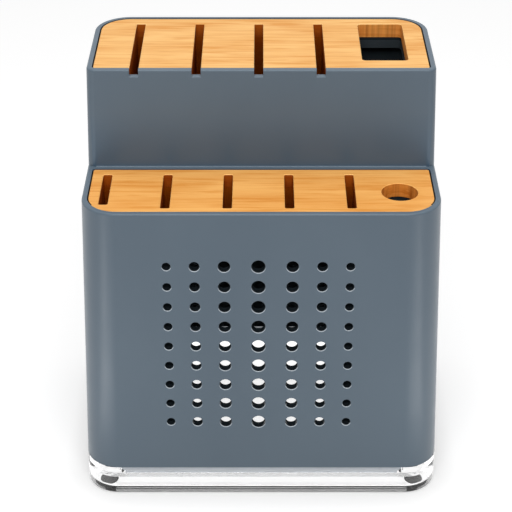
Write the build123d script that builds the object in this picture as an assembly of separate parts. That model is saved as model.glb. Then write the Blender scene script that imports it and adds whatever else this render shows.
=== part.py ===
from build123d import *
import os
from math import radians, tan

# Two-tier stand for kitchen knives and cutlery, on a clear drip tray.
# Lengths are millimetres and angles degrees. X runs to the right, Y to the back and Z up.
# The origin lies on the table, under the middle of the stand.

# Overall form of the housing
base_width = 210.0          # across the bottom edge
base_depth = 151.0          # front to back at the bottom edge
lower_tier_height = 169.2   # bottom edge to the shelf that holds the lower board
upper_tier_height = 59.6    # shelf to the top that holds the upper board
shelf_depth = 57.2          # front face to step wall, at the height of the shelf
draft = 1.7                 # every outer face leans in by this angle
corner_radius = 20.5        # upright corners
step_corner_radius = 5.0    # upright corners at the front of the upper tier
wall = 2.4                  # housing wall

# Rims and board seats
rim_width = 3.0             # flat rim around each board
rim_round = 1.2             # rounding of the outer edge of the rims
shelf_strip = 2.6           # rim between the lower board and the step wall
step_foot_round = 0.8       # inner rounding where the step wall meets the shelf
ledge_width = 2.4           # ledge that carries the edge of a board
ledge_thickness = 2.4
seat_corner_radius = 2.0    # corners of a seat that have no housing corner beside them

# Boards
board_thickness = 8.4
board_sink = 0.3            # top of a board under the top of its rim
board_gap = 0.5             # play all round a board
board_edge = 0.35           # chamfer along the upper edges

# Slots and holes of the boards. Across the stand they start from its side faces, and front to
# back from its front face, step wall and rear face, so they stay in their boards at any size.
slot_width = 5.2
lower_slot_count = 5
lower_slot_left = 12.4      # left side face to the middle of the leftmost slot
lower_slot_front = 7.8      # front face to the front end of a slot
lower_slot_rear = 9.2       # rear end of a slot to the step wall
short_slot_cut = 4.2        # the leftmost slot ends this much further back
lower_slot_corner = 1.2
slot_to_round_hole = 27.5   # middle of the rightmost slot to the middle of the round hole
round_hole_right = 22.5     # middle of the round hole to the right side face
round_hole_diameter = 20.5
round_hole_front = 26.8     # front face to the middle of the round hole
upper_slot_count = 4
upper_slot_left = 26.7      # left side face to the middle of the leftmost slot, at the top
upper_slot_rear = 11.4      # rear end of a slot, and of the window, to the rear face
upper_slot_corner = 0.4
notch_depth = 4.0           # notch where an upper slot runs out through the rim
notch_edge = 0.8            # rounding of the outer edge under a notch
slot_to_window = 36.8       # middle of the rightmost slot to the middle of the window
window_right = 27.9         # middle of the rectangular window to the right side face
window_width = 26.3
window_front = 14.4         # step wall to the front end of the window, at the top
window_corner = 2.4

# Under each board: a black guide plate, a black collar and a bamboo sleeve for every slot
guide_plate = 2.0
guide_gap = 0.4             # play between a guide plate and the ledge around it
guide_relief = 0.2          # openings under a board are this much wider on every side than its own
collar_depth = 5.0          # collar of the round hole and of the window, below the guide plate
collar_wall = 1.6
sleeve_wall = 1.0
lower_sleeve_depth = 16.0   # sleeves of the slots, from the underside of their board down
upper_sleeve_depth = 27.0
upper_guide_margin = 3.0    # web of the guide plate in front of the upper sleeves
corner_relief = 2.5         # the sleeve of the short slot starts this much behind it, clear of the corner

# Screws that hold a guide to its board
screw_diameter = 2.8
screw_head = 5.4
screw_head_height = 1.4
screw_length = 8.0
screw_beside_slot = 12.0    # upper board: middle of a slot to the screw beside it
screw_from_front = 7.0      # front edge of the guide to the middle of a screw
screw_from_rear = 5.0       # rear edge of the guide to the middle of a screw

# Drain holes in the front
hole_row_count = 9
first_row_drop = 32.7       # shelf to the middle of the top row
hole_row_pitch = 12.96
hole_grid_x = -1.65
hole_offsets = (0.0, 19.1, 35.7, 51.25)      # columns to each side of the middle one
hole_diameters = (7.7, 6.7, 5.7, 4.7)        # in the same order
hole_edge = 0.6             # rounding of each hole

# Black liner inside the housing
liner_gap = 0.25
liner_wall = 2.4
liner_lift = 6.0            # bottom of the liner above the bottom edge of the housing
snap_height = 30.0          # bottom edge of the housing to the snap beads
snap_length = 40.0
snap_radius = 1.5
snap_proud = 0.6
snap_clearance = 0.15

# Clear drip tray
tray_height = 18.9          # underside of the tray to the rim that carries the housing
tray_wall = 2.6
tray_floor = 3.0
tray_corner_radius = 19.2
tray_bottom_round = 1.0
tray_inner_round = 2.0
lip_gap = 0.5               # play between the locating lip and the housing
lip_thickness = 1.8
lip_height = 4.5            # lip above the rim
lip_root = 1.5              # full thickness under the finger notches
tray_notch_width = 168.8    # finger notches in the rim, at the front and at the back
tray_notch_depth = 4.6
tray_notch_corner = 4.0

# Rubber feet, pressed into pockets under the tray
foot_diameter = 10.4
foot_show = 0.5             # foot below the tray
foot_pocket = 1.4
foot_play = 0.05
foot_inset = 13.0           # middle of a foot to the outer faces of the tray
foot_edge = 0.3

# Heights that follow
tray_bottom_z = foot_show
base_z = tray_bottom_z + tray_height
shelf_z = base_z + lower_tier_height
top_z = shelf_z + upper_tier_height
lower_seat_z = shelf_z - board_sink - board_thickness
upper_seat_z = top_z - board_sink - board_thickness
lower_ceiling_z = lower_seat_z - ledge_thickness
upper_ceiling_z = upper_seat_z - ledge_thickness
lean = tan(radians(draft))
reach = 2.0                 # how far a cutting shape runs past what it cuts
least_radius = 0.5          # of an upright edge that the wall around it leaves no room to round more


def half_width(z, inset):
    """Half width of the drafted body at height z, drawn in by inset."""
    return base_width / 2 - (z - base_z) * lean - inset


def front_y(z, inset):
    """Front face at height z, drawn in by inset."""
    return -base_depth / 2 + (z - base_z) * lean + inset


def rear_y(z, inset):
    """Rear face at height z, drawn in by inset."""
    return base_depth / 2 - (z - base_z) * lean - inset


def step_y(z, inset):
    """Front face of the upper tier at height z, drawn in by inset."""
    return front_y(shelf_z, 0) + shelf_depth + (z - shelf_z) * lean + inset


def slot_middles(half, left, right, count):
    """Middles of count evenly spaced slots, from left of one side face to right of the other."""
    pitch = (2 * half - left - right) / (count - 1)
    return [left - half + index * pitch for index in range(count)]


def lower_slot_middles():
    return slot_middles(half_width(shelf_z, 0), lower_slot_left, round_hole_right + slot_to_round_hole,
                        lower_slot_count)


def upper_slot_middles():
    return slot_middles(half_width(top_z, 0), upper_slot_left, window_right + slot_to_window,
                        upper_slot_count)


def drafted_block(z_low, z_high, front_at, inset, front_radius, rear_radius):
    """Block whose four sides lean in by the draft, with rounded upright corners."""
    y_low = front_at(z_low, inset)
    y_high = rear_y(z_low, inset)
    width = 2 * half_width(z_low, inset)
    depth = y_high - y_low
    height = z_high - z_low
    shrink = height * lean
    block = Wedge(width, height, depth, shrink, shrink, width - shrink, depth - shrink)
    block = Pos(0, (y_low + y_high) / 2, (z_low + z_high) / 2) * Rot(90, 0, 0) * block
    upright = [edge for edge in block.edges() if edge.bounding_box().size.Z > height / 2]
    front = [edge for edge in upright if edge.center().Y < (y_low + y_high) / 2]
    block = fillet(front, max(front_radius, least_radius))
    upright = [edge for edge in block.edges() if edge.bounding_box().size.Z > height / 2]
    rear = [edge for edge in upright if edge.center().Y > (y_low + y_high) / 2]
    return fillet(rear, max(rear_radius, least_radius))


def plan(x_half, y_low, y_high, front_radius, rear_radius, z):
    """Flat rectangle at height z with rounded corners at the front and at the rear."""
    sheet = Pos(0, (y_low + y_high) / 2, z) * Rectangle(2 * x_half, y_high - y_low)
    sheet = fillet(sheet.vertices().group_by(Axis.Y)[0], max(front_radius, 0.3))
    return fillet(sheet.vertices().group_by(Axis.Y)[-1], max(rear_radius, 0.3))


def lower_plan(z, inset):
    """Plan of the lower board's seat, drawn in by inset."""
    return plan(half_width(shelf_z, rim_width + inset),
                front_y(shelf_z, rim_width + inset), step_y(shelf_z, -shelf_strip - inset),
                corner_radius - rim_width - inset, seat_corner_radius - inset, z)


def upper_plan(z, inset):
    """Plan of the upper board's seat, drawn in by inset."""
    return plan(half_width(top_z, rim_width + inset),
                step_y(top_z, rim_width + inset), rear_y(top_z, rim_width + inset),
                seat_corner_radius - inset, corner_radius - rim_width - inset, z)


def upright_prism(x, y_low, y_high, width, corner, z_low, z_high):
    """Upright prism around x, from y_low to y_high, with rounded corners."""
    sheet = Pos(x, (y_low + y_high) / 2, z_low) * RectangleRounded(width, y_high - y_low, corner)
    return extrude(sheet, amount=z_high - z_low)


def lower_openings(z_low, z_high, first_cut, grow):
    """The slots and the round hole of the lower board, wider by grow, the first slot cut short."""
    front = front_y(shelf_z, lower_slot_front)
    rear = step_y(shelf_z, -lower_slot_rear)
    shapes = []
    for index, x in enumerate(lower_slot_middles()):
        start = front + (first_cut if index == 0 else 0.0)
        shapes.append(upright_prism(x, start - grow, rear + grow,
                                    slot_width + 2 * grow, lower_slot_corner + grow, z_low, z_high))
    round_hole = Pos(half_width(shelf_z, round_hole_right), front_y(shelf_z, round_hole_front), z_low)
    round_hole *= Circle(round_hole_diameter / 2 + grow)
    shapes.append(extrude(round_hole, amount=z_high - z_low))
    return shapes


def upper_openings(z_low, z_high, slot_start, grow):
    """The four slots from slot_start back and the window of the upper board, wider by grow."""
    rear = rear_y(top_z, upper_slot_rear)
    shapes = []
    for x in upper_slot_middles():
        shapes.append(upright_prism(x, slot_start - grow, rear + grow,
                                    slot_width + 2 * grow, upper_slot_corner + grow, z_low, z_high))
    front = step_y(top_z, window_front)
    shapes.append(upright_prism(half_width(top_z, window_right), front - grow, rear + grow,
                                window_width + 2 * grow, window_corner + grow, z_low, z_high))
    return shapes


def drain_holes():
    """Level cylinders through the front of the housing and of the liner."""
    shapes = []
    for row in range(hole_row_count):
        z = shelf_z - first_row_drop - row * hole_row_pitch
        length = wall + liner_gap + liner_wall + 2 * reach
        y = front_y(z, length / 2 - reach)
        for offset, diameter in zip(hole_offsets, hole_diameters):
            for x in {hole_grid_x - offset, hole_grid_x + offset}:
                shapes.append(Pos(x, y, z) * Rot(90, 0, 0) * Cylinder(diameter / 2, length))
    return shapes


def snap_bars(grow):
    """Level round bars for the snap beads of the liner, one on each side wall."""
    z = base_z + snap_height
    x = half_width(z, wall + liner_gap) - (snap_radius - snap_proud)
    bar = Rot(90, 0, 0) * Cylinder(snap_radius + grow, snap_length + 2 * grow)
    return [Pos(-x, 0, z) * bar, Pos(x, 0, z) * bar]


def step_foot_cove():
    """Concave strip along the straight foot of the step wall, its back sunk in the wall."""
    length = 2 * (half_width(shelf_z, 0) - step_corner_radius)
    wall_y = step_y(shelf_z, 0)
    strip = Pos(0, wall_y, shelf_z) * Box(length, 2 * step_foot_round, 2 * step_foot_round)
    hollow = Pos(0, wall_y - step_foot_round, shelf_z + step_foot_round) * Rot(0, 90, 0)
    return strip - hollow * Cylinder(step_foot_round, length + reach)


def make_housing():
    """Grey two-tier shell: walls, rims, ledges for both boards, notches and drain holes."""
    lower = drafted_block(base_z, shelf_z, front_y, 0, corner_radius, corner_radius)
    lower = fillet(lower.edges().group_by(Axis.Z)[-1], rim_round)
    tower_foot_z = shelf_z - 3 * rim_round
    tower = drafted_block(tower_foot_z, top_z, step_y, 0, step_corner_radius, corner_radius)
    tower = fillet(tower.edges().group_by(Axis.Z)[-1], rim_round)
    shell = lower + tower
    shell += step_foot_cove()
    inner_radius = corner_radius - wall
    shell -= drafted_block(base_z - reach, lower_ceiling_z, front_y, wall, inner_radius, inner_radius)
    shell -= drafted_block(lower_ceiling_z - reach, upper_ceiling_z, step_y, wall,
                           step_corner_radius - wall, inner_radius)
    shell -= extrude(lower_plan(lower_seat_z, 0), amount=shelf_z - lower_seat_z + reach)
    shell -= extrude(lower_plan(lower_ceiling_z - reach, ledge_width), amount=ledge_thickness + 2 * reach)
    shell -= extrude(upper_plan(upper_seat_z, 0), amount=top_z - upper_seat_z + reach)
    shell -= extrude(upper_plan(upper_ceiling_z - reach, ledge_width), amount=ledge_thickness + 2 * reach)
    rim_front = step_y(top_z, 0)
    for x in upper_slot_middles():
        shell -= upright_prism(x, rim_front - reach, rim_front + rim_width + reach,
                               slot_width, upper_slot_corner, top_z - notch_depth, top_z + reach)
    notch_z = top_z - notch_depth
    notch_lips = [edge for edge in shell.edges().filter_by(Axis.X)
                  if abs(edge.center().Z - notch_z) < reach / 100
                  and abs(edge.center().Y - step_y(notch_z, 0)) < reach / 100]
    shell = fillet(notch_lips, notch_edge)
    shell -= snap_bars(snap_clearance)
    shell -= drain_holes()
    face = shell.faces().filter_by(GeomType.PLANE).sort_by(Axis.Y)[0]
    return fillet([edge for wire in face.inner_wires() for edge in wire.edges()], hole_edge)


def make_liner():
    """Black insert that follows the inside of the housing, open at both tiers and at the bottom."""
    outer = wall + liner_gap
    inner = outer + liner_wall
    bottom = base_z + liner_lift
    liner = drafted_block(bottom, lower_ceiling_z, front_y, outer, corner_radius - outer, corner_radius - outer)
    liner += drafted_block(lower_ceiling_z - reach, upper_ceiling_z, step_y, outer,
                           step_corner_radius - outer, corner_radius - outer)
    liner -= drafted_block(bottom - reach, lower_ceiling_z, front_y, inner,
                           corner_radius - inner, corner_radius - inner)
    liner -= drafted_block(lower_ceiling_z - 2 * reach, upper_ceiling_z + reach, step_y, inner,
                           step_corner_radius - inner, corner_radius - inner)
    liner += snap_bars(0.0)
    return liner - drain_holes()


def guide_screw_places(rear_edge, front_edge, middles, rear_middles):
    """Middles of the screws: one row near the front edge of a guide and one near its rear edge."""
    front_row = [(x, front_edge + screw_from_front) for x in middles]
    rear_row = [(x, rear_edge - screw_from_rear) for x in rear_middles]
    return front_row + rear_row


def lower_screw_places():
    """Screws in the bars between the outer pairs of lower slots."""
    edge = rim_width + ledge_width + guide_gap
    slots = lower_slot_middles()
    middles = [(slots[0] + slots[1]) / 2, (slots[-2] + slots[-1]) / 2]
    return guide_screw_places(step_y(shelf_z, -shelf_strip - ledge_width - guide_gap),
                              front_y(shelf_z, edge), middles, middles)


def upper_screw_places():
    """One screw at the front of every bar of the upper board, and two behind the slots."""
    edge = rim_width + ledge_width + guide_gap
    slots = upper_slot_middles()
    beside = [slots[0] - screw_beside_slot] + [x + screw_beside_slot for x in slots]
    return guide_screw_places(rear_y(top_z, edge), step_y(top_z, edge), beside, [beside[1], beside[-2]])


def screw(x, y, seat_z):
    """Countersunk screw that points up, its head level with the underside of the guide plate."""
    z = seat_z - guide_plate
    head = Pos(x, y, z + screw_head_height / 2) * Cone(screw_head / 2, screw_diameter / 2, screw_head_height)
    shank = Pos(x, y, z + screw_length / 2) * Cylinder(screw_diameter / 2, screw_length)
    return head + shank


def make_board(sheet, openings, places, seat_z):
    """Bamboo board with chamfered upper edges and pilot holes for its screws."""
    board = extrude(sheet, amount=board_thickness) - openings
    board = chamfer(board.edges().group_by(Axis.Z)[-1], board_edge)
    return board - [screw(x, y, seat_z) for x, y in places]


def make_guide_set(sheet, openings, places, seat_z, sleeve_depth):
    """Black guide plate under a board, black collar of its wide opening and sleeves of its slots.

    openings(z_low, z_high, grow) draws the slots and, as the last shape, the wide opening.
    """
    plate_z = seat_z - guide_plate
    collar_z = plate_z - collar_depth
    sleeve_z = seat_z - sleeve_depth
    sleeve_places = openings(plate_z - reach, seat_z + reach, guide_relief + sleeve_wall)[:-1]
    passages = openings(sleeve_z - reach, seat_z + reach, guide_relief)
    plate = extrude(sheet, amount=guide_plate) - sleeve_places - passages[-1]
    plate -= [screw(x, y, seat_z) for x, y in places]
    collar = openings(collar_z, plate_z, guide_relief + collar_wall)[-1] - passages[-1]
    outlines = openings(sleeve_z, seat_z, guide_relief + sleeve_wall)[:-1]
    sleeves = Compound([(outline - passage).solid() for outline, passage in zip(outlines, passages)])
    return plate, collar, sleeves


def make_lower_board():
    openings = lower_openings(lower_seat_z - reach, shelf_z + reach, short_slot_cut, 0.0)
    return make_board(lower_plan(lower_seat_z, board_gap), openings, lower_screw_places(), lower_seat_z)


def make_upper_board():
    openings = upper_openings(upper_seat_z - reach, top_z + reach, step_y(top_z, 0), 0.0)
    return make_board(upper_plan(upper_seat_z, board_gap), openings, upper_screw_places(), upper_seat_z)


def make_lower_guide_set():
    """Guide plate, collar and sleeves under the lower board."""
    def openings(z_low, z_high, grow):
        return lower_openings(z_low, z_high, short_slot_cut + corner_relief, grow)

    sheet = lower_plan(lower_seat_z - guide_plate, ledge_width + guide_gap)
    return make_guide_set(sheet, openings, lower_screw_places(), lower_seat_z, lower_sleeve_depth)


def make_upper_guide_set():
    """Guide plate, collar and sleeves under the upper board."""
    slot_start = step_y(top_z, rim_width + ledge_width + guide_gap + upper_guide_margin)

    def openings(z_low, z_high, grow):
        return upper_openings(z_low, z_high, slot_start, grow)

    sheet = upper_plan(upper_seat_z - guide_plate, ledge_width + guide_gap)
    return make_guide_set(sheet, openings, upper_screw_places(), upper_seat_z, upper_sleeve_depth)


def tray_plan(z, inset, radius):
    """Plan of the tray at height z, drawn in by inset."""
    return plan(base_width / 2 - inset, -base_depth / 2 + inset, base_depth / 2 - inset, radius, radius, z)


def foot_places():
    """Middles of the four feet, with the names of their corners."""
    x = base_width / 2 - foot_inset
    y = base_depth / 2 - foot_inset
    return {"front_left": (-x, -y), "front_right": (x, -y), "rear_left": (-x, y), "rear_right": (x, y)}


def finger_notches(depth):
    """Two cutting blocks, depth into the front and the back of the tray, down from its rim."""
    height = tray_notch_depth + lip_height + reach
    outline = Rot(90, 0, 0) * RectangleRounded(tray_notch_width, height, tray_notch_corner)
    block = extrude(outline, amount=(depth + reach) / 2, both=True)
    y = base_depth / 2 - (depth - reach) / 2
    z = base_z - tray_notch_depth + height / 2
    return [Pos(0, -y, z) * block, Pos(0, y, z) * block]


def make_tray():
    """Clear tray: floor, wall, rim that carries the housing, locating lip and finger notches."""
    lip_outer = wall + lip_gap
    lip_inner = lip_outer + lip_thickness
    tray = extrude(tray_plan(tray_bottom_z, 0, tray_corner_radius), amount=tray_height)
    tray = fillet(tray.edges().group_by(Axis.Z)[0], tray_bottom_round)
    root_z = base_z - tray_notch_depth - lip_root
    tray += extrude(tray_plan(root_z, lip_outer, corner_radius - lip_outer),
                    amount=base_z - root_z + lip_height)
    floor_z = tray_bottom_z + tray_floor
    slope_z = root_z - (lip_inner - tray_wall)
    wall_radius = tray_corner_radius - tray_wall
    lip_radius = corner_radius - lip_inner
    basin = extrude(tray_plan(floor_z, tray_wall, wall_radius), amount=slope_z - floor_z)
    basin = fillet(basin.edges().group_by(Axis.Z)[0], tray_inner_round)
    slope = loft([tray_plan(slope_z, tray_wall, wall_radius).face(),
                  tray_plan(root_z, lip_inner, lip_radius).face()], ruled=True)
    mouth = extrude(tray_plan(root_z, lip_inner, lip_radius), amount=base_z - root_z + lip_height + reach)
    tray -= basin
    tray -= slope
    tray -= mouth
    tray -= finger_notches(lip_outer)
    pocket = Cylinder(foot_diameter / 2 + foot_play, foot_pocket, align=(Align.CENTER, Align.CENTER, Align.MIN))
    return tray - [Pos(x, y, tray_bottom_z) * pocket for x, y in foot_places().values()]


def make_foot(x, y):
    """Rubber disc with a softened lower edge."""
    foot = Pos(x, y, 0) * Cylinder(foot_diameter / 2, foot_show + foot_pocket,
                                   align=(Align.CENTER, Align.CENTER, Align.MIN))
    return fillet(foot.edges().group_by(Axis.Z)[0], foot_edge)


def make_pieces():
    """Every piece of the stand under its own name."""
    lower_guide, lower_collar, lower_sleeves = make_lower_guide_set()
    upper_guide, upper_collar, upper_sleeves = make_upper_guide_set()
    pieces = {
        "housing": make_housing(),
        "inner_liner": make_liner(),
        "lower_board": make_lower_board(),
        "upper_board": make_upper_board(),
        "lower_guide": lower_guide,
        "lower_collar": lower_collar,
        "lower_sleeves": lower_sleeves,
        "upper_guide": upper_guide,
        "upper_collar": upper_collar,
        "upper_sleeves": upper_sleeves,
        "lower_board_screws": Compound([screw(x, y, lower_seat_z).solid() for x, y in lower_screw_places()]),
        "upper_board_screws": Compound([screw(x, y, upper_seat_z).solid() for x, y in upper_screw_places()]),
        "drip_tray": make_tray(),
    }
    for corner, (x, y) in foot_places().items():
        pieces["foot_" + corner] = make_foot(x, y)
    return pieces


os.makedirs("parts", exist_ok=True)
for name, piece in make_pieces().items():
    export_step(piece, f"parts/{name}.step")
    box = piece.bounding_box()
    print(f"{name}: {len(piece.solids())} solid(s), {piece.volume / 1000:.1f} cm3,"
          f" z {box.min.Z:.2f} to {box.max.Z:.2f}")
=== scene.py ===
# %% [markdown]
# # A two-tier stand for kitchen knives and cutlery
#
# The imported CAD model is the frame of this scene: every piece already has its real size and its
# place, in metres. Blender adds what the CAD model leaves out: the finish of each surface, two
# small strips behind the drain holes, and the light.

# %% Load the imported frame
from math import pi, radians, tan

import bmesh
import bpy
import numpy as np
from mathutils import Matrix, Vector


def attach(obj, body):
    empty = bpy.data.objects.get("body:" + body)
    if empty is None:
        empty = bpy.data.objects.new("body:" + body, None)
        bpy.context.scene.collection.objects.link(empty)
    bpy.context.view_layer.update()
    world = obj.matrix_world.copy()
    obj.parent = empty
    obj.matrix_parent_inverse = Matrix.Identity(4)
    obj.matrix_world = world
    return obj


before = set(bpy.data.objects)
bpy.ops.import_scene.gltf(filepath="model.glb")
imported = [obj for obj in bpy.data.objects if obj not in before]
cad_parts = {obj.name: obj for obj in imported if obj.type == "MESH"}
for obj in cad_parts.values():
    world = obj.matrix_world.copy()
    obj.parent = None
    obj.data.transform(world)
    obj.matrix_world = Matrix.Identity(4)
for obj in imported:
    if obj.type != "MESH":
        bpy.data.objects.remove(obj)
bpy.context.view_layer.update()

print("CAD nodes:", ", ".join(sorted(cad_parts)))

# %% [markdown]
# ## Camera
#
# The stand was photographed from straight ahead and about 30 degrees above, with a long lens, so
# its upright edges hardly lean. A short lens nearer the stand would make the top look much wider
# than the foot. The distance, tilt and lens here came from fitting the corners of the stand.

# %% Camera at the photograph's viewpoint
CAMERA_PLACE = (0.0, -0.83005, 0.6055)
CAMERA_PITCH = radians(59.741)     # 90 degrees would look level
SENSOR_MM = 36.0
LENS_MM = 111.71
CAMERA_SHIFT = -0.01045            # the stand's middle lies 5 pixels right of the picture's middle

camera_data = bpy.data.cameras.new("camera")
camera_data.sensor_width = SENSOR_MM
camera_data.lens = LENS_MM
camera_data.shift_x = CAMERA_SHIFT
camera = bpy.data.objects.new("camera", camera_data)
camera.location = CAMERA_PLACE
camera.rotation_euler = (CAMERA_PITCH, 0.0, 0.0)
bpy.context.scene.collection.objects.link(camera)
bpy.context.scene.camera = camera
bpy.context.scene.view_settings.view_transform = "Standard"
print("camera at", CAMERA_PLACE)

# %% [markdown]
# ## Helpers for materials
#
# A material is a small net of nodes. `wire` adds one node and fills its inputs: a socket is linked
# and anything else is written in as a value. The others give one result each, so that a pattern
# reads like a sum. A mask is a value that is 1 on one part of the surface and 0 elsewhere, and the
# product of masks is 1 where all of them are.

# %% Nodes that work with numbers
def wire(tree, kind, values=None, **settings):
    """Adds a node: settings are its own choices, values fill its inputs by name or number."""
    made = tree.nodes.new(kind)
    for key, value in settings.items():
        setattr(made, key, value)
    for key, value in (values or {}).items():
        if isinstance(value, bpy.types.NodeSocket):
            tree.links.new(value, made.inputs[key])
        else:
            made.inputs[key].default_value = value
    return made


def calc(tree, operation, *values):
    """The result of one Math node."""
    return wire(tree, "ShaderNodeMath", dict(enumerate(values)), operation=operation).outputs[0]


def times(tree, first, *others):
    """The product of all the values."""
    for other in others:
        first = calc(tree, "MULTIPLY", first, other)
    return first


def apart(tree, first, second):
    """The distance between two values."""
    return calc(tree, "ABSOLUTE", calc(tree, "SUBTRACT", first, second))


def past(tree, value, limit):
    """How far value lies past limit, or 0 before it."""
    return calc(tree, "MAXIMUM", calc(tree, "SUBTRACT", value, limit), 0.0)


def between(tree, value, low, high):
    """1 where low < value < high and 0 elsewhere."""
    return times(tree, calc(tree, "GREATER_THAN", value, low), calc(tree, "LESS_THAN", value, high))


def ramp(tree, value, low, high, from_low=0.3, from_high=0.7):
    """Value moved from one range to another, held inside it."""
    node = wire(tree, "ShaderNodeMapRange",
                {0: value, 1: from_low, 2: from_high, 3: low, 4: high})
    return node.outputs[0]


def parts_of(tree, vector):
    """The X, Y and Z of a vector, by name."""
    return wire(tree, "ShaderNodeSeparateXYZ", {0: vector}).outputs


def distance(tree, x, y):
    """How far the point x, y lies from the origin."""
    flat = wire(tree, "ShaderNodeCombineXYZ", {0: x, 1: y}).outputs[0]
    return wire(tree, "ShaderNodeVectorMath", {0: flat}, operation="LENGTH").outputs["Value"]


# %% Nodes that work with patterns and colours
def stretched(tree, place, scale):
    """Object coordinates times scale along X, Y and Z: a pattern is long where scale is small."""
    node = wire(tree, "ShaderNodeVectorMath", {0: place, 1: scale}, operation="MULTIPLY")
    return node.outputs[0]


def noise(tree, place, scale, detail=2.0, roughness=0.5):
    """A noise value around 0.5, its grains about 1/scale metres wide."""
    node = wire(tree, "ShaderNodeTexNoise",
                {"Vector": place, "Scale": scale, "Detail": detail, "Roughness": roughness})
    return node.outputs["Fac"]


def blend_colours(tree, share, first, second, mode="MIX"):
    """Share of the second colour over the first."""
    node = wire(tree, "ShaderNodeMix", {0: share, 6: first, 7: second},
                data_type="RGBA", blend_type=mode)
    return node.outputs[2]


def toned(tree, share, colour, tone):
    """Colour, multiplied by tone where share is 1."""
    darker = blend_colours(tree, 1.0, colour, tone, "MULTIPLY")
    return blend_colours(tree, share, colour, darker)


def bump(tree, height, strength, depth):
    """A normal that follows height, depth metres deep at full strength."""
    node = wire(tree, "ShaderNodeBump",
                {"Height": height, "Strength": strength, "Distance": depth})
    return node.outputs["Normal"]


# %% Materials
def new_material(name):
    """An empty node material: itself, its tree, its main shader and its Object coordinates."""
    made = bpy.data.materials.new(name)
    made.use_nodes = True
    tree = made.node_tree
    shader = tree.nodes["Principled BSDF"]
    return made, tree, shader, wire(tree, "ShaderNodeTexCoord").outputs["Object"]


def set_shader(tree, shader, **values):
    """Fills the main shader's inputs, with _ for each space in their names."""
    for key, value in values.items():
        socket = shader.inputs[key.replace("_", " ")]
        if isinstance(value, bpy.types.NodeSocket):
            tree.links.new(value, socket)
        else:
            socket.default_value = value


# %% [markdown]
# ## Finish on the CAD pieces
#
# The CAD pieces come as loose triangles with flat faces. Welding their corners and splitting them
# again at the true edges lets the round parts shade smoothly. Weighting the normals by area keeps
# the large flat walls flat right up to their small roundings.

# %% Smooth shading and a material for a CAD piece
WELD_DISTANCE = 5e-6
EDGE_ANGLE = radians(40)
AREA_WEIGHT = 100                  # the largest that there is
EVEN_WITHIN = 0.01                 # weights this near count as the same


def dress(node, material):
    """Gives a CAD piece its material and smooth shading."""
    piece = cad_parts[node]
    piece.data.materials.clear()
    piece.data.materials.append(material)
    for face in piece.data.polygons:
        face.use_smooth = True
    weld = piece.modifiers.new("weld", "WELD")
    weld.merge_threshold = WELD_DISTANCE
    split = piece.modifiers.new("true edges", "EDGE_SPLIT")
    split.split_angle = EDGE_ANGLE
    split.use_edge_sharp = False
    even = piece.modifiers.new("even normals", "WEIGHTED_NORMAL")
    even.weight = AREA_WEIGHT
    even.thresh = EVEN_WITHIN
    print(node, "is", material.name)


# %% [markdown]
# ## Grey housing
#
# The housing is moulded in slate grey plastic with a fine satin grain. Plain paint would look dead:
# a real moulding varies a little in tone where the plastic flowed, and its grain breaks up
# reflections. The tone comes from a broad faint noise and the height: towards the foot the grey is
# painted paler, as painted light from the white floor. The grain comes from a very fine noise that
# is used as bump only.

# %% Tone of the grey plastic
GREY = (0.081, 0.112, 0.144, 1)
GREY_PALE = (0.094, 0.128, 0.161, 1)
FLOW_SCALE = (14, 14, 7)           # broad clouds, twice as tall as they are wide
FLOW_SHARE = (-0.2, 0.6)           # least and most of the pale grey that the clouds give
# painted light: the grey turns paler towards the foot, standing in for light from the white floor
FOOT_PAINTED_LIGHT_SHARE = 0.8                   # of the pale grey at the foot
FOOT_HEIGHT = 0.0194               # bottom edge of the housing
FOOT_LIGHT_FADES_AT = 0.13

grey_plastic, tree, shader, place = new_material("grey moulded plastic")
at = parts_of(tree, place)
flow = noise(tree, stretched(tree, place, FLOW_SCALE), 1.0, detail=3)
# painted light, paler towards the foot
painted_foot_light = ramp(tree, at["Z"], FOOT_PAINTED_LIGHT_SHARE, 0.0, FOOT_HEIGHT, FOOT_LIGHT_FADES_AT)
pale_share = calc(tree, "ADD", ramp(tree, flow, *FLOW_SHARE), painted_foot_light)
grey = blend_colours(tree, pale_share, GREY, GREY_PALE)
print("two tones of grey, from", GREY[:3], "to", GREY_PALE[:3])

# %% [markdown]
# Two places beside the boards differ. The foot of the step wall, over the lower board, is painted a
# little deeper and bluer, as painted shade where the wall meets the lower tier, and the rims around
# both boards are painted paler where they face up, as painted light. The height and the true normal
# tell where they are, so no second material is needed.

# %% Painted shade on the step wall, painted light on the rims
SHELF_HEIGHT = 0.1886
STEP_DEPTHS = (-0.02, 0.0)         # the step wall lies between these, front to back
STEP_HALF_WIDTH = 0.097            # up to the rounded corners
STEEP = 0.5                        # faces whose normal rises less than this are walls
STEP_SHADE_FADE = 0.034                  # height over which the deeper tone fades out
STEP_FOOT_PAINTED_SHADE = (0.70, 0.86, 0.99, 1)
RIM_PAINTED_LIGHT = (1.42, 1.40, 1.38, 1)
RIM_LEVELS = (0.3, 0.85)           # from the start of the rounding to the flat of the rim
RIMS_FROM = 0.002                  # below the shelf

face_normal = wire(tree, "ShaderNodeNewGeometry").outputs["True Normal"]
level = parts_of(tree, face_normal)["Z"]
step_wall = times(tree, between(tree, at["Y"], *STEP_DEPTHS),
                  between(tree, at["X"], -STEP_HALF_WIDTH, STEP_HALF_WIDTH),
                  calc(tree, "LESS_THAN", level, STEEP))
near_shelf = ramp(tree, at["Z"], 1, 0, SHELF_HEIGHT, SHELF_HEIGHT + STEP_SHADE_FADE)
# painted shade: deeper, bluer grey at the foot of the step wall
grey = toned(tree, times(tree, step_wall, near_shelf), grey, STEP_FOOT_PAINTED_SHADE)

on_rims = times(tree, ramp(tree, level, 0, 1, *RIM_LEVELS),
                calc(tree, "GREATER_THAN", at["Z"], SHELF_HEIGHT - RIMS_FROM))
# painted light: paler grey on the rims that face up
grey = toned(tree, on_rims, grey, RIM_PAINTED_LIGHT)
print("step wall deeper up to", round(SHELF_HEIGHT + STEP_SHADE_FADE, 4), "m, rims paler")
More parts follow.
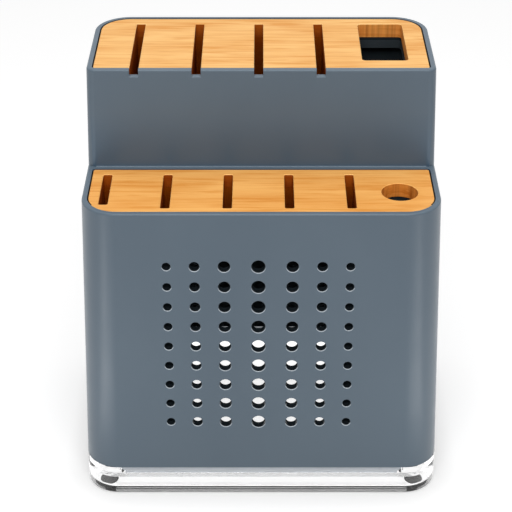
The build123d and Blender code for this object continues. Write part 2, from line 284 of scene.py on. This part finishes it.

# %% [markdown]
# In the drain holes, the thin rounded lip is painted pale where it faces up, as painted light from
# above, and the wall behind it is painted black, as painted shade. Both are told by the depth
# behind the leaning front face.

# %% Drain holes
LEAN = tan(radians(1.7))           # every wall leans in by 1.7 degrees
FOOT_FRONT = -0.0755               # the front face at the housing's bottom edge
WALL = 0.0024
SKIN = 0.0002                      # past a face, so that a mask takes the whole face in
HOLE_LIP_PAINTED_LIGHT = (0.42, 0.47, 0.51, 1)
HOLE_WALL_PAINTED_SHADE = (0.010, 0.014, 0.018, 1)
HOLE_LIP_START = 0.00002           # behind the front face, which stays out of the lip
HOLE_LIP_DEPTH = 0.00032
LIP_LEVELS = (0.08, 0.30)          # the lip is pale where its normal rises
HOLES_HALF_WIDTH = 0.06
HOLES_BOTTOM = FOOT_HEIGHT + 0.01
HOLES_TOP = 0.165

front_face = calc(tree, "MULTIPLY_ADD", at["Z"], LEAN, FOOT_FRONT - FOOT_HEIGHT * LEAN)
depth = calc(tree, "SUBTRACT", at["Y"], front_face)
in_holes = times(tree, between(tree, at["Z"], HOLES_BOTTOM, HOLES_TOP),
                 between(tree, at["X"], -HOLES_HALF_WIDTH, HOLES_HALF_WIDTH))
on_lip = times(tree, in_holes, ramp(tree, level, 0, 1, *LIP_LEVELS),
               between(tree, depth, HOLE_LIP_START, HOLE_LIP_DEPTH))
on_wall = times(tree, in_holes, between(tree, depth, HOLE_LIP_DEPTH, WALL + SKIN))
# painted light on the lip, then painted shade on the wall behind it
grey = blend_colours(tree, on_lip, grey, HOLE_LIP_PAINTED_LIGHT)
grey = blend_colours(tree, on_wall, grey, HOLE_WALL_PAINTED_SHADE)
print("pale lips", HOLE_LIP_DEPTH, "m deep in the drain holes")

# %% Satin grain of the housing
HOUSING_GRAIN = 2600               # grains per metre
HOUSING_GRAIN_DEPTH = 0.00005
HOUSING_PATCHES = 60               # patches per metre that differ in gloss
HOUSING_ROUGHNESS = (0.33, 0.39)
HOUSING_GLOSS = 0.35
GRAIN_STRENGTH = 0.3
GRAIN_CRISPNESS = 0.6              # how strong the finer part of the noise is

grain = noise(tree, place, HOUSING_GRAIN, detail=2, roughness=GRAIN_CRISPNESS)
patches = noise(tree, place, HOUSING_PATCHES, detail=2)
set_shader(tree, shader, Base_Color=grey, Roughness=ramp(tree, patches, *HOUSING_ROUGHNESS),
           Normal=bump(tree, grain, GRAIN_STRENGTH, HOUSING_GRAIN_DEPTH),
           Specular_IOR_Level=HOUSING_GLOSS)
dress("housing", grey_plastic)

# %% [markdown]
# ## Black plastic inside
#
# The liner, the guide plates and their collars are black mouldings that show only through the
# openings, where they must stay darker than the grey around them. The liner gets hardly any gloss,
# because a shine deep in a hole would lift it to grey.

# %% Black moulded plastic
LINER_TONES = ((0.015, 0.021, 0.025, 1), (0.021, 0.028, 0.033, 1))
COLLAR_TONES = ((0.026, 0.035, 0.041, 1), (0.032, 0.042, 0.049, 1))
LINER_GLOSS = 0.04
COLLAR_GLOSS = 0.3
BLACK_ROUGHNESS = (0.42, 0.52)
BLACK_GRAIN = 2200
BLACK_GRAIN_DEPTH = 0.00006
BLACK_PATCHES = 45


def black_moulding(name, tones, gloss):
    """Black plastic with a fine grain, between two near-black tones; gloss is its specular."""
    made, tree, shader, place = new_material(name)
    grain = noise(tree, place, BLACK_GRAIN, detail=2, roughness=GRAIN_CRISPNESS)
    patches = noise(tree, place, BLACK_PATCHES, detail=2)
    set_shader(tree, shader,
               Base_Color=blend_colours(tree, ramp(tree, patches, 0, 1), *tones),
               Roughness=ramp(tree, patches, *BLACK_ROUGHNESS),
               Normal=bump(tree, grain, GRAIN_STRENGTH, BLACK_GRAIN_DEPTH),
               Specular_IOR_Level=gloss)
    return made


liner_black = black_moulding("black moulded plastic", LINER_TONES, LINER_GLOSS)
collar_black = black_moulding("charcoal moulded plastic", COLLAR_TONES, COLLAR_GLOSS)
for node in ("inner_liner", "lower_guide", "upper_guide"):
    dress(node, liner_black)
for node in ("lower_collar", "upper_collar"):
    dress(node, collar_black)

# %% [markdown]
# ## Strips behind the outermost holes
#
# The photograph shows the outermost column of holes on each side black from top to bottom, while
# light comes through the columns between them. So a flat strip closes each outer column from
# behind. It is a thin rounded pad against the inner wall of the liner. A plain box would do behind
# holes this small, but a rounded pad looks moulded from behind as well.

# %% A closed surface from rings of points
def closed_surface(name, rings):
    """A mesh through closed rings of points, shape (rings, points, 3), with a pole at each end."""
    count, around = rings.shape[:2]
    points = np.vstack([rings[0].mean(axis=0), rings.reshape(-1, 3), rings[-1].mean(axis=0)])
    number = 1 + np.arange(count * around).reshape(count, around)
    after = np.roll(number, -1, axis=1)
    quads = np.stack([number[:-1], after[:-1], after[1:], number[1:]], axis=-1).reshape(-1, 4)
    first = np.stack([after[0], number[0], np.zeros(around, int)], axis=-1)
    last = np.stack([number[-1], after[-1], np.full(around, len(points) - 1)], axis=-1)
    mesh = bpy.data.meshes.new(name)
    mesh.from_pydata(points.tolist(), [], quads.tolist() + first.tolist() + last.tolist())
    whole = bmesh.new()
    whole.from_mesh(mesh)
    bmesh.ops.recalc_face_normals(whole, faces=whole.faces)
    whole.to_mesh(mesh)
    whole.free()
    mesh.shade_smooth()
    made = bpy.data.objects.new(name, mesh)
    bpy.context.scene.collection.objects.link(made)
    return made


# %% Strips behind the outermost holes
STRIP_MIDDLES = (-0.0529, 0.0496)  # the outermost columns of holes
STRIP_HALF = (0.0042, 0.0004, 0.0575)
STRIP_HEIGHT = 0.1041              # middle of the nine rows
LINER_FACE_DEPTH = 0.00505         # inner face of the liner, behind the front face
STRIP_SIDES = 64
STRIP_STEPS = 18                   # from pole to pole


def eased(value, power):
    """Value raised to power with its sign kept."""
    return np.sign(value) * np.abs(value) ** power


def pad_against_liner(middle, half, height):
    """Rings of a flat rounded pad.

    x = middle + a |cos u|^0.3 |cos v|^0.2 and z = height + c |sin u|^0.3 |cos v|^0.2 draw a rounded
    rectangle that shrinks to a pole on either face, and y = b |sin v|^0.5, each with its sign, plus
    the depth of the liner's leaning face at that height.
    """
    u = np.linspace(0, 2 * np.pi, STRIP_SIDES, endpoint=False)[None, :]
    v = np.linspace(-np.pi / 2, np.pi / 2, STRIP_STEPS)[1:-1, None]
    shrink = eased(np.cos(v), 0.2)
    x = middle + half[0] * eased(np.cos(u), 0.3) * shrink
    z = height + half[2] * eased(np.sin(u), 0.3) * shrink
    front = FOOT_FRONT + (z - FOOT_HEIGHT) * LEAN
    y = front + LINER_FACE_DEPTH + half[1] * (1 + eased(np.sin(v), 0.5))
    return np.stack([x, y, z], axis=-1)


for side, middle in zip(("left", "right"), STRIP_MIDDLES):
    rings = pad_against_liner(middle, STRIP_HALF, STRIP_HEIGHT)
    strip = closed_surface("hole_strip_" + side, rings)
    strip.data.materials.append(liner_black)
    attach(strip, "housing")
    print(strip.name, len(strip.data.polygons), "faces")

# %% [markdown]
# ## Bamboo tops
#
# Each top is a board of narrow bamboo strips glued side by side, with the grain along the width of
# the stand. Every strip has a tone of its own, its fibres are long thin streaks, and here and there
# a strip has a darker patch. One noise stretched far along X makes the fibres, and a random number
# for each strip sets its tone and slides its pattern along, so no two strips look alike.

# %% Grain of the bamboo
BAMBOO_STRIP = 0.0078              # width of a glued strip
BAMBOO_SLIDE = 3.7                 # metres that a strip's pattern slides at most
SEAM_TONE = (0.84, 0.78, 0.70, 1)
FIBRE_SCALE = (30, 1300, 1300)
STREAK_SCALE = (24, 480, 480)
CLOUD_SCALE = (22, 70, 70)
PATCH_SCALE = (34, 260, 260)
# What each adds to the deep tone's share: least and most, then the noise that reaches them.
FIBRE_SHARE = (0.0, 0.38)
STREAK_SHARE = (0.0, 0.66, 0.46, 0.70)
CLOUD_SHARE = (-0.32, 0.26)
PATCH_SHARE = (0.0, 0.75, 0.58, 0.76)
TONE_SHARE = 0.16                  # the strip's own tone adds this much at most
SEAM_EDGE = (0.465, 0.5)           # from the middle of a strip, in strip widths
SEAM_SHARE = (0.1, 0.5)
BAMBOO_ROUGHNESS = (0.48, 0.60)
FIBRE_STRENGTH = 0.25
FIBRE_DEPTH = 0.0002


def bamboo_grain(tree, place, at, pale, deep):
    """Colour of bamboo strips, between a pale and a deep tone, and the fibres alone.

    The deep tone's share is the sum of fibres, streaks, clouds, patches and each strip's own tone.
    """
    across = calc(tree, "DIVIDE", at["Y"], BAMBOO_STRIP)
    lot = wire(tree, "ShaderNodeTexWhiteNoise", {"W": calc(tree, "FLOOR", across)},
               noise_dimensions="1D")
    tone = lot.outputs["Value"]
    along = calc(tree, "ADD", at["X"], times(tree, tone, BAMBOO_SLIDE))
    slid = wire(tree, "ShaderNodeCombineXYZ", {0: along, 1: at["Y"], 2: at["Z"]}).outputs[0]
    fibre = noise(tree, stretched(tree, slid, FIBRE_SCALE), 1.0, detail=4, roughness=0.65)
    streak = noise(tree, stretched(tree, slid, STREAK_SCALE), 1.0, detail=3)
    cloud = noise(tree, stretched(tree, place, CLOUD_SCALE), 1.0, detail=2)
    patch = noise(tree, stretched(tree, slid, PATCH_SCALE), 1.0, detail=2)
    share = ramp(tree, fibre, *FIBRE_SHARE)
    for more in (ramp(tree, streak, *STREAK_SHARE), times(tree, tone, TONE_SHARE),
                 ramp(tree, cloud, *CLOUD_SHARE), ramp(tree, patch, *PATCH_SHARE)):
        share = calc(tree, "ADD", share, more)
    colour = blend_colours(tree, share, pale, deep)
    off_middle = apart(tree, calc(tree, "FRACT", across), 0.5)
    seam = times(tree, ramp(tree, off_middle, 0, 1, *SEAM_EDGE), ramp(tree, cloud, *SEAM_SHARE))
    return toned(tree, seam, colour, SEAM_TONE), fibre


def finish_bamboo(tree, shader, colour, fibre, gloss):
    """Gives the shader its colour, and a roughness and a bump that follow the fibres."""
    set_shader(tree, shader, Base_Color=colour,
               Roughness=ramp(tree, fibre, *BAMBOO_ROUGHNESS),
               Normal=bump(tree, fibre, FIBRE_STRENGTH, FIBRE_DEPTH), Specular_IOR_Level=gloss)


print("bamboo in strips of", BAMBOO_STRIP, "m")

# %% [markdown]
# The boards are sanded on top and cut through by slots and holes. The walls of the slots are
# painted dark orange brown, deeper towards their bottom, as painted shade with the light that
# bounces between them. The walls of the wide openings show upright streaks, the small chamfers are
# painted paler, as a painted highlight, and the outer chamfer is painted dark, as painted shade of
# the gap beside the rim.
# One material tells them apart by the true normal and by where the openings are, so the grain runs
# on from one to the other.

# %% Sawn walls and chamfers of a board
SAWN_TONE = (0.90, 0.66, 0.40, 1)
SAWN_DEEP_TONE = (0.58, 0.40, 0.23, 1)     # in the upright streaks
SAWN_SCALE = (420, 420, 12)
SAWN_STREAKS = (0.42, 0.68)
# painted shade in the slots, painted highlight and painted shade on the chamfers
SLOT_PAINTED_SHADE = (0.46, 0.190, 0.026, 1)        # at the top of a slot
SLOT_DEEP_PAINTED_SHADE = (0.38, 0.145, 0.012, 1)   # and one board thickness down
CHAMFER_PAINTED_HIGHLIGHT = (1.06, 1.16, 1.30, 1)
GAP_PAINTED_SHADE = (0.035, 0.035, 0.035, 1)
SAWN_LEVEL = 0.3                   # faces steeper than this are sawn
BEVEL_LEVEL = 0.9                  # and those between the two are chamfers
FRONT_FACING = -0.35               # a normal that points further forward is on a front edge
BOARD_THICKNESS = 0.0084
SLOT_HALF = 0.0031                 # half a slot's width, and a little more
SLOTS_END = 0.055                  # right of this lie the round hole and the window
BOARD_GLOSS = 0.25


def slot_mask(tree, at, first_slot, slot_pitch):
    """1 within SLOT_HALF of each slot's middle, for slots a pitch apart from the first one."""
    phase = calc(tree, "DIVIDE", calc(tree, "SUBTRACT", at["X"], first_slot), slot_pitch)
    off_slot = apart(tree, phase, calc(tree, "ROUND", phase))
    return times(tree, calc(tree, "LESS_THAN", off_slot, SLOT_HALF / slot_pitch),
                 calc(tree, "LESS_THAN", at["X"], SLOTS_END))


def bamboo_board(name, tones, top, slots, openings):
    """Bamboo board whose upper face lies at height top.

    slots holds the first slot's middle and their pitch, and openings the rectangle that holds all
    the openings: x low, x high, y low, y high.
    """
    made, tree, shader, place = new_material(name)
    at = parts_of(tree, place)
    colour, fibre = bamboo_grain(tree, place, at, *tones)
    normal = parts_of(tree, wire(tree, "ShaderNodeNewGeometry").outputs["True Normal"])
    level = calc(tree, "ABSOLUTE", normal["Z"])
    sawn = calc(tree, "LESS_THAN", level, SAWN_LEVEL)
    bevel = calc(tree, "SUBTRACT", calc(tree, "LESS_THAN", level, BEVEL_LEVEL), sawn)
    inside = times(tree, between(tree, at["X"], *openings[:2]),
                   between(tree, at["Y"], *openings[2:]))

    in_slot = times(tree, slot_mask(tree, at, *slots), inside)
    depth = ramp(tree, at["Z"], 1, 0, top - BOARD_THICKNESS, top)
    # painted shade: slot walls darker towards their bottom
    slot_shade = blend_colours(tree, depth, SLOT_PAINTED_SHADE, SLOT_DEEP_PAINTED_SHADE)
    upright = noise(tree, stretched(tree, place, SAWN_SCALE), 1.0, detail=3)
    streaks = ramp(tree, upright, 0, 1, *SAWN_STREAKS)
    sawn_tone = blend_colours(tree, streaks, SAWN_TONE, SAWN_DEEP_TONE)
    colour = toned(tree, sawn, colour, blend_colours(tree, in_slot, sawn_tone, slot_shade))

    outer = times(tree, calc(tree, "SUBTRACT", 1.0, inside),
                  calc(tree, "GREATER_THAN", normal["Y"], FRONT_FACING))
    # painted highlight on the inner chamfers, painted shade on the outer one
    colour = toned(tree, bevel, colour, blend_colours(tree, outer, CHAMFER_PAINTED_HIGHLIGHT, GAP_PAINTED_SHADE))
    finish_bamboo(tree, shader, colour, fibre, BOARD_GLOSS)
    return made


# %% Both boards
UPPER_TONES = ((0.970, 0.560, 0.200, 1), (0.790, 0.350, 0.080, 1))
LOWER_TONES = ((0.985, 0.500, 0.140, 1), (0.785, 0.310, 0.053, 1))
UPPER_TOP = 0.2479
LOWER_TOP = 0.1883
UPPER_SLOTS = (-0.07151, 0.035006)     # middle of the first slot, and the pitch
LOWER_SLOTS = (-0.08758, 0.034389)
UPPER_OPENINGS = (-0.078, 0.0865, -0.0100, 0.0600)
LOWER_OPENINGS = (-0.0920, 0.0895, -0.0640, -0.0205)

upper_bamboo = bamboo_board("pale bamboo strips", UPPER_TONES, UPPER_TOP, UPPER_SLOTS,
                            UPPER_OPENINGS)
lower_bamboo = bamboo_board("deep bamboo strips", LOWER_TONES, LOWER_TOP, LOWER_SLOTS,
                            LOWER_OPENINGS)
dress("upper_board", upper_bamboo)
dress("lower_board", lower_bamboo)

# %% [markdown]
# Under the boards, a thin sleeve lines each slot. It has the grain of the boards but is painted
# much darker, as painted shade deep in the slots, and hardly glossy, so that a slot looks deep from
# above.

# %% Sleeves under the boards
# painted shade: the sleeves are far darker than the boards
SLEEVE_PAINTED_SHADE_TONES = ((0.365, 0.0783, 0.0023, 1), (0.300, 0.0508, 0.0010, 1))
SLEEVE_GLOSS = 0.05

sleeve_shaded_bamboo, tree, shader, place = new_material("bamboo in painted slot shade")
at = parts_of(tree, place)
colour, fibre = bamboo_grain(tree, place, at, *SLEEVE_PAINTED_SHADE_TONES)
finish_bamboo(tree, shader, colour, fibre, SLEEVE_GLOSS)
for node in ("upper_sleeves", "lower_sleeves"):
    dress(node, sleeve_shaded_bamboo)

# %% [markdown]
# ## Clear tray
#
# The tray is clear moulded plastic. Its colour is left at pure white where it is clear, because
# each pass through a surface would multiply by it again and turn the tray grey. It could all be
# polished, but then the low wall would vanish. The lip that shows behind the long notches and the
# floor of the notches are frosted, and tinted grey and darker grey as painted shade of the housing
# above them. Two fine dark lines are painted round the foot, as painted shade seen through its
# rounded bottom edge. So a few bands, told by their height and depth, get a tint and a roughness.

# %% Frosted lip and notch with painted shade, and painted shade lines at the foot
LIP_FACE = 0.0727                  # the locating lip's outer face, from the middle to front or back
LIP_THICKNESS = 0.0018
NOTCH_FLOOR = 0.0148
NOTCH_HALF_WIDTH = 0.0838
NOTCH_EDGE = 0.0012                # over which the notch floor clears towards its outer edge
OUTER_FACE = 0.0755
FACE_BAND = 0.0008                 # faces this near to the outer face belong to it
HAIR = 0.0001                      # as SKIN, where faces lie closer together
# painted shade on the frosted lip and the notch floor, and in two lines at the foot
LIP_PAINTED_SHADE = (0.44, 0.47, 0.51, 1)
NOTCH_PAINTED_SHADE = (0.20, 0.22, 0.25, 1)
FOOT_LINE_PAINTED_SHADE = (0.03, 0.033, 0.036, 1)
PAINTED_FOOT_LINES = ((0.0034, 0.00050), (0.0011, 0.00042))     # height and half width of each line

clear_plastic, tree, shader, place = new_material("clear plastic")
at = parts_of(tree, place)
to_side = calc(tree, "ABSOLUTE", at["X"])
to_front = calc(tree, "ABSOLUTE", at["Y"])
in_notch = calc(tree, "LESS_THAN", to_side, NOTCH_HALF_WIDTH)
frost_and_shade = times(tree, between(tree, to_front, LIP_FACE - LIP_THICKNESS - SKIN, LIP_FACE + SKIN),
              calc(tree, "GREATER_THAN", at["Z"], NOTCH_FLOOR - HAIR), in_notch)
notch_shade = times(tree, in_notch, between(tree, at["Z"], NOTCH_FLOOR - HAIR, NOTCH_FLOOR + HAIR),
                    ramp(tree, to_front, 1, 0, OUTER_FACE - NOTCH_EDGE, OUTER_FACE))
lines = 0.0
# painted shade lines round the foot
for height, half_width in PAINTED_FOOT_LINES:
    line = ramp(tree, apart(tree, at["Z"], height), 1, 0, 0.5 * half_width, half_width)
    lines = calc(tree, "MAXIMUM", lines, line)
lines = times(tree, lines, calc(tree, "GREATER_THAN", to_front, OUTER_FACE - FACE_BAND))
print("frost on the lip and the notch floor, and", len(PAINTED_FOOT_LINES), "lines at the foot")

# %% [markdown]
# The underside guides light. Polished, it would mirror the dark inside of the housing into the
# tray's bottom edge, so its outer rim is matt. In front of each foot a short piece of the rim stays
# polished, because the photograph shows the black feet through the clear corners. The top of each
# foot's pocket is black, since rubber that is pressed against clear plastic shows through it.

# %% Underside and feet
CORNER_CENTRE = (0.0858, 0.0563)   # of the tray's rounded corners
RIM_REACH = 0.0101                 # the rim starts this far out from the lines of those centres
RIM_HEIGHT = 0.0008                # the underside lies lower than this
FOOT_WINDOW = (0.0875, 0.0935)     # the rim is polished between these, to the left and right
FOOT_PLACE = (0.092, 0.0625)
FOOT_RADIUS = 0.0054
POCKET_HEIGHT = 0.0020             # the pockets end below this

from_foot = distance(tree, calc(tree, "SUBTRACT", to_side, FOOT_PLACE[0]),
                     calc(tree, "SUBTRACT", to_front, FOOT_PLACE[1]))
over_foot = times(tree, calc(tree, "LESS_THAN", from_foot, FOOT_RADIUS),
                  calc(tree, "LESS_THAN", at["Z"], POCKET_HEIGHT))
outward = distance(tree, past(tree, to_side, CORNER_CENTRE[0]),
                   past(tree, to_front, CORNER_CENTRE[1]))
on_rim = times(tree, calc(tree, "LESS_THAN", at["Z"], RIM_HEIGHT),
               calc(tree, "GREATER_THAN", outward, RIM_REACH),
               calc(tree, "SUBTRACT", 1.0, between(tree, to_side, *FOOT_WINDOW)))
print("feet", FOOT_PLACE, "m from the middle show through the corners")

# %% Clear plastic
CLEAR = (1.0, 1.0, 1.0, 1)
FOOT_BLACK = (0.012, 0.012, 0.013, 1)
FROST_ROUGHNESS = 0.3
RIM_ROUGHNESS = 0.6
POLISHED = 0.01
WAVE_SCALE = 35                    # the clear walls are very slightly uneven
WAVE_STRENGTH = 0.02
WAVE_DEPTH = 0.0002
ACRYLIC_IOR = 1.49
TRAY_GLOSS = 0.15

# painted shade: grey lip, darker notch floor and dark lines at the foot
tint = blend_colours(tree, lines, CLEAR, FOOT_LINE_PAINTED_SHADE)
tint = blend_colours(tree, frost_and_shade, tint, LIP_PAINTED_SHADE)
tint = blend_colours(tree, notch_shade, tint, NOTCH_PAINTED_SHADE)
tint = blend_colours(tree, over_foot, tint, FOOT_BLACK)
frosted = calc(tree, "MAXIMUM", frost_and_shade, notch_shade)
roughness = POLISHED
for share, most in ((frosted, FROST_ROUGHNESS), (on_rim, RIM_ROUGHNESS), (over_foot, 1.0)):
    roughness = calc(tree, "MAXIMUM", times(tree, share, most), roughness)
waves = noise(tree, place, WAVE_SCALE, detail=1)
set_shader(tree, shader, Base_Color=tint, Roughness=roughness, IOR=ACRYLIC_IOR,
           Transmission_Weight=calc(tree, "SUBTRACT", 1.0, over_foot),
           Normal=bump(tree, waves, WAVE_STRENGTH, WAVE_DEPTH), Specular_IOR_Level=TRAY_GLOSS)
dress("drip_tray", clear_plastic)

# %% [markdown]
# ## Rubber feet and screws
#
# The feet are plain black rubber with a moulded grain, and the screws are zinc-plated steel with a
# slight tarnish. Both are small, so two near tones under a fine noise are enough.

# %% Rubber feet
RUBBER_TONES = ((0.010, 0.010, 0.011, 1), (0.018, 0.018, 0.019, 1))
RUBBER_GRAIN = 3000
RUBBER_GRAIN_DEPTH = 0.00008
RUBBER_ROUGHNESS = 0.62

rubber, tree, shader, place = new_material("black rubber")
grain = noise(tree, place, RUBBER_GRAIN, detail=2)
set_shader(tree, shader,
           Base_Color=blend_colours(tree, ramp(tree, grain, 0, 1), *RUBBER_TONES),
           Roughness=RUBBER_ROUGHNESS,
           Normal=bump(tree, grain, GRAIN_STRENGTH, RUBBER_GRAIN_DEPTH))
for corner in ("front_left", "front_right", "rear_left", "rear_right"):
    dress("foot_" + corner, rubber)

# %% Zinc-plated screws
STEEL_TONES = ((0.52, 0.53, 0.55, 1), (0.68, 0.68, 0.69, 1))
STEEL_ROUGHNESS = (0.28, 0.42)
TARNISH_SCALE = 900

steel, tree, shader, place = new_material("zinc-plated steel")
tarnish = noise(tree, place, TARNISH_SCALE, detail=3)
set_shader(tree, shader,
           Base_Color=blend_colours(tree, ramp(tree, tarnish, 0, 1), *STEEL_TONES),
           Roughness=ramp(tree, tarnish, *STEEL_ROUGHNESS), Metallic=1.0)
for node in ("lower_board_screws", "upper_board_screws"):
    dress(node, steel)

# %% [markdown]
# ## Floor and light
#
# The stand was photographed on white. More light would make the floor white too, but it would wash
# out the stand. So the floor is a plain pale sheet that catches the shadow, and what the camera,
# the gloss and the clear plastic see of it is lifted to white with Light Path.

# %% Rays that see the white
MIRRORED = 0.75                    # of the white is what satin gloss shows
FIRST_HAND = 0.5                   # fewer scattered bounces than this: none


def seen_rays(tree):
    """Two shares of white: for the camera, and for gloss and clear plastic seen first-hand."""
    path = wire(tree, "ShaderNodeLightPath").outputs
    mirrored = times(tree, path["Is Glossy Ray"], MIRRORED)
    through = calc(tree, "MAXIMUM", mirrored, path["Is Transmission Ray"])
    first_hand = calc(tree, "LESS_THAN", path["Diffuse Depth"], FIRST_HAND)
    return path["Is Camera Ray"], times(tree, through, first_hand)


print("gloss sees", MIRRORED, "of the white")

# %% White floor
FLOOR_HALF = 6.0
FLOOR_WHITE = (0.70, 0.70, 0.70, 1)        # the rest of its white is the lift
FLOOR_ROUGHNESS = 0.9
SEEN_LIFT = 0.47                   # for the camera, which still sees the soft shadow

corners = np.array([[-1, -1, 0], [1, -1, 0], [1, 1, 0], [-1, 1, 0]], float) * FLOOR_HALF
floor_mesh = bpy.data.meshes.new("floor")
floor_mesh.from_pydata(corners.tolist(), [], [(0, 1, 2, 3)])
floor = bpy.data.objects.new("floor", floor_mesh)
bpy.context.scene.collection.objects.link(floor)
print("floor", 2 * FLOOR_HALF, "m wide")

# %% [markdown]
# The lift would also wash out the small dark shadow right where the stand meets the floor. So a
# little of it is held back along the footprint, a rectangle with rounded corners, which paints a
# soft contact shadow there.

# %% Contact shadow and finish of the floor
CONTACT_X = 0.086                  # the footprint's corners are rounded about these lines
CONTACT_Y = 0.0565
CONTACT_ROUND = 0.019
CONTACT_FADE = 0.016
CONTACT_SHADE = 0.27               # of the lift is held back where the stand meets the floor

floor_white, tree, shader, place = new_material("white floor")
direct, through = seen_rays(tree)
at = parts_of(tree, place)
away = distance(tree, past(tree, calc(tree, "ABSOLUTE", at["X"]), CONTACT_X),
                past(tree, calc(tree, "ABSOLUTE", at["Y"]), CONTACT_Y))
contact = ramp(tree, away, 1.0 - CONTACT_SHADE, 1.0, CONTACT_ROUND, CONTACT_ROUND + CONTACT_FADE)
lift = calc(tree, "MAXIMUM", times(tree, direct, SEEN_LIFT, contact), through)
set_shader(tree, shader, Base_Color=FLOOR_WHITE, Roughness=FLOOR_ROUGHNESS,
           Emission_Color=(1, 1, 1, 1), Emission_Strength=lift, Specular_IOR_Level=0.0)
floor_mesh.materials.append(floor_white)
print("contact shadow", CONTACT_FADE, "m wide")

# %% [markdown]
# The light on the stand itself stays plain: a soft sky, a broad soft box in front and overhead, and
# two low lamps on the floor that draw the pale bands down the rounded corners.

# %% World
SKY_LEVEL = 0.50                   # for rays that light a surface
SKY_SEEN = 1.0                     # for rays that see the background

world = bpy.data.worlds.new("studio")
world.use_nodes = True
bpy.context.scene.world = world
tree = world.node_tree
sky = tree.nodes["Background"]
direct, through = seen_rays(tree)
white = ramp(tree, calc(tree, "MAXIMUM", direct, through), SKY_LEVEL, SKY_SEEN, 0, 1)
tree.links.new(white, sky.inputs["Strength"])
sky.inputs["Color"].default_value = (1, 1, 1, 1)
print("sky", SKY_LEVEL, "strong, and", SKY_SEEN, "to the eye")

# %% Soft boxes and floor lamps
AIM = (0.0, 0.0, 0.12)             # the middle of the stand
FLOOR_LAMP_PLACE = (0.27, -0.24, 0.004)
FLOOR_LAMP_SIZE = (0.09, 0.34)
FLOOR_LAMP_TURN = radians(50)      # in plan, with the lamp facing straight up


def aimed(place):
    """The turn of a lamp at place that shines at the middle of the stand."""
    return (Vector(AIM) - Vector(place)).to_track_quat("-Z", "Y").to_euler()


def soft_box(name, place, turn, size, radiance):
    """A rectangular lamp; its power follows from its size and brightness."""
    width, height = size
    lamp = bpy.data.lights.new(name, "AREA")
    lamp.shape = "RECTANGLE"
    lamp.size = width
    lamp.size_y = height
    lamp.energy = radiance * pi * width * height
    made = bpy.data.objects.new(name, lamp)
    made.location = place
    made.rotation_euler = turn
    made.visible_camera = False
    bpy.context.scene.collection.objects.link(made)
    print(name, "at", place, "radiance", radiance)


for name, place, size, radiance in (("front box", (0.0, -0.98, 1.20), (0.9, 0.5), 7.2),
                                    ("top box", (0.0, 0.0, 1.3), (0.8, 0.8), 1.4)):
    soft_box(name, place, aimed(place), size, radiance)
for name, side, radiance in (("left lamp", -1, 3.2), ("right lamp", 1, 2.8)):
    place = (side * FLOOR_LAMP_PLACE[0], *FLOOR_LAMP_PLACE[1:])
    soft_box(name, place, (pi, 0.0, side * FLOOR_LAMP_TURN), FLOOR_LAMP_SIZE, radiance)
